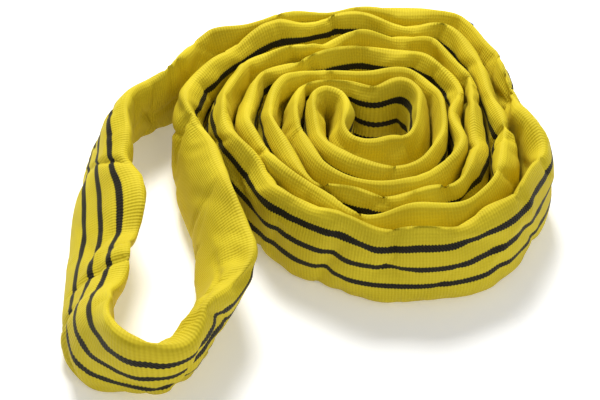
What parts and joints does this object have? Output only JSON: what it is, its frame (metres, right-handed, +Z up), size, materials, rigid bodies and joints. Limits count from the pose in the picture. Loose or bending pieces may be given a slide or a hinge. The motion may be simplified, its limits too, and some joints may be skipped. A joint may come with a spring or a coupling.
{
  "type": "round sling",
  "caption": "Endless textile lifting sling with a tubular woven sleeve and dark stripes, doubled and rolled up on its edge, with one eye left free.",
  "frame": {"origin": "middle of the footprint, on the surface the sling stands on", "axes": "+Z up, parallel to the rolled sleeve's width; the free eye is at -X, its end towards -Y"},
  "size_m": [0.2754, 0.2953, 0.055],
  "materials": {
    "sleeve_fabric": "woven polyester, matt with a slight sheen",
    "core_yarn": "undyed bundled yarn",
    "sewing_thread": "bonded sewing thread",
    "label_cloth": "coated label cloth"
  },
  "bodies": {
    "sling": {"core_strand_1": "core_yarn", "core_strand_2": "core_yarn", "core_strand_3": "core_yarn", "core_strand_4": "core_yarn", "label_strip": "label_cloth", "label_thread_1": "sewing_thread", "label_thread_2": "sewing_thread", "seam_thread_1": "sewing_thread", "seam_thread_2": "sewing_thread", "seam_thread_3": "sewing_thread", "sleeve": "sleeve_fabric"},
    "label": {"label_tag": "label_cloth"}
  },
  "joints": [
    {"name": "label_hinge", "type": "hinge", "parent": "sling", "child": "label", "pos_m": [0.03969, 0.14601, 0.027], "axis": [0, 0, 1], "range_deg": [0, 120]}
  ]
}
